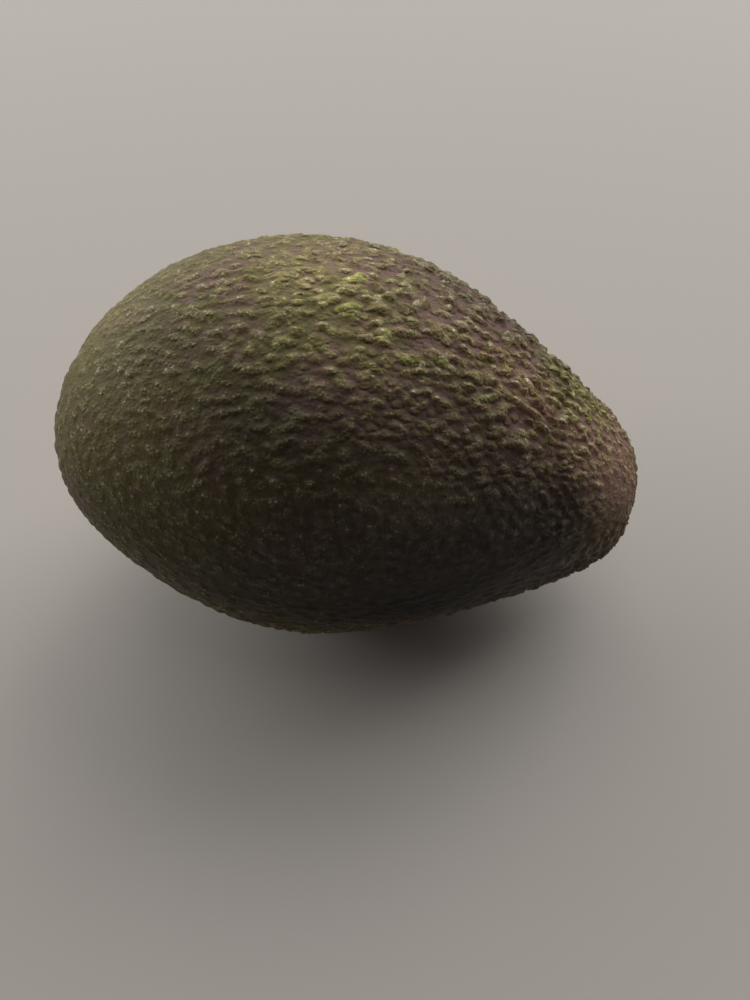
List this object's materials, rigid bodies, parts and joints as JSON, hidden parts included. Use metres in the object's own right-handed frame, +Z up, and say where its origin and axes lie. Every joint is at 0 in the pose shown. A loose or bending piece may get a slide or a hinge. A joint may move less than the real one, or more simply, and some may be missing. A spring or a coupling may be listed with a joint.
{
  "type": "avocado",
  "caption": "Whole pebble-skinned avocado lying on its side: egg-shaped body, blunt at one end, narrower at the other, with a small corky stem scar in a shallow dimple.",
  "frame": {"origin": "centre of the box's underside: on the surface that the fruit lies on, below the middle of the box", "axes": "+X along the fruit's length towards the narrow stem end, -X towards the blunt blossom end, +Z up"},
  "size_m": [0.1026, 0.07, 0.0691],
  "materials": {
    "avocado_skin": "satin pebbled skin, yellow-green pebble tops over mauve-brown valleys"
  },
  "bodies": {
    "root": {"avocado": "avocado_skin"}
  },
  "joints": []
}
